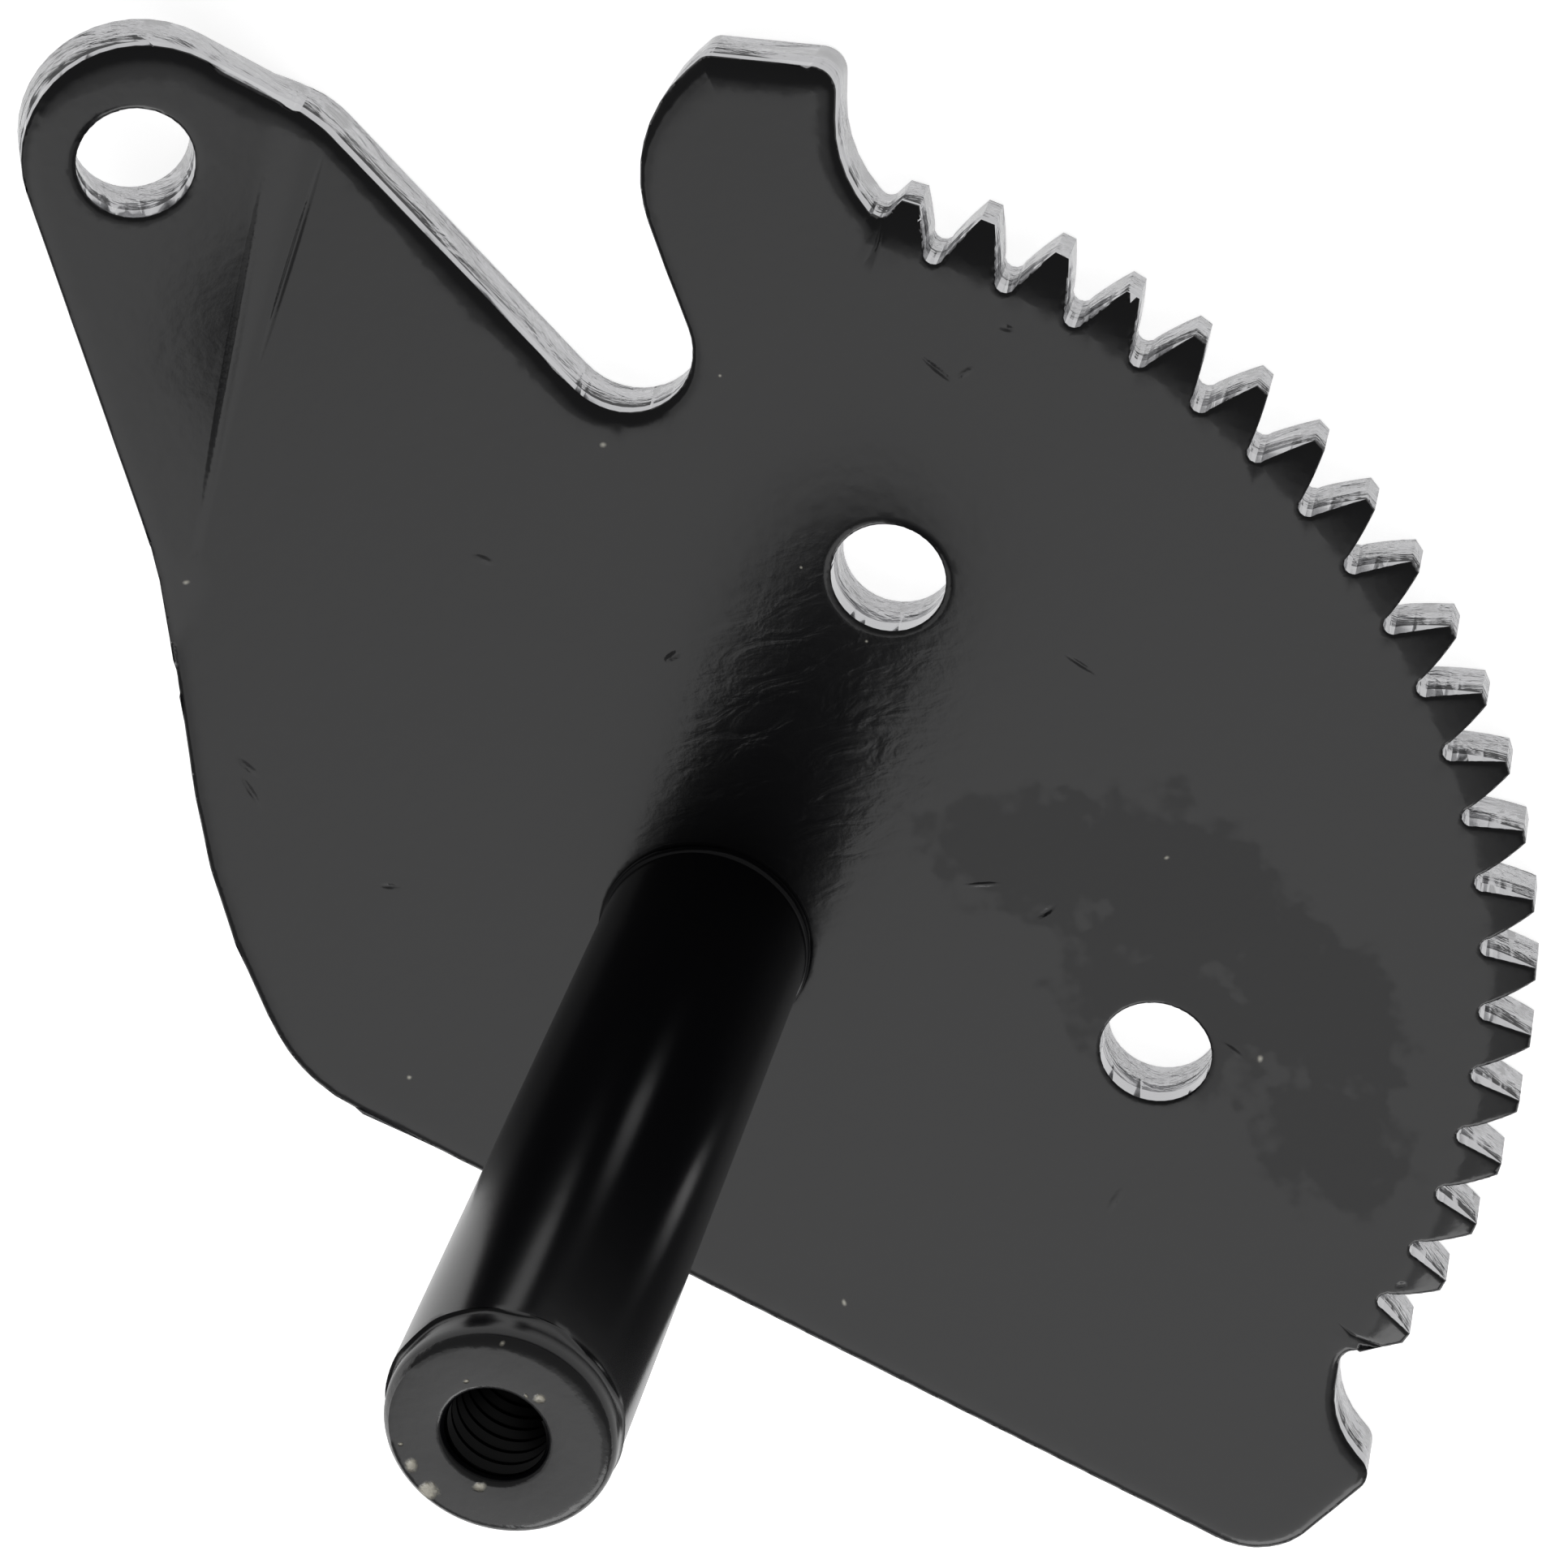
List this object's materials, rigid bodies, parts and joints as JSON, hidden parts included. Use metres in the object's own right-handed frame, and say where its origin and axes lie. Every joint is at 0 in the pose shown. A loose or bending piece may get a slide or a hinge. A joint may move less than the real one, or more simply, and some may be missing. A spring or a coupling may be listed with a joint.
{
  "type": "steering sector gear",
  "caption": "Stamped sector gear plate with a toothed rim, hooked stop notch and bent-up drag link ear, fixed on a turned pivot shaft with a tapped end.",
  "frame": {"origin": "on the pivot shaft's axis, in the plate's back face", "axes": "+Z along the pivot shaft, away from the plate's back face; +X through the middle tooth of the rim; +Y towards the bent-up ear"},
  "size_m": [0.1184, 0.1747, 0.0868],
  "materials": {
    "plate": "gloss black enamel on stamped steel",
    "shaft": "gloss black enamel on turned steel"
  },
  "bodies": {
    "root": {"sector_plate": "plate", "pivot_shaft": "shaft"}
  },
  "joints": []
}
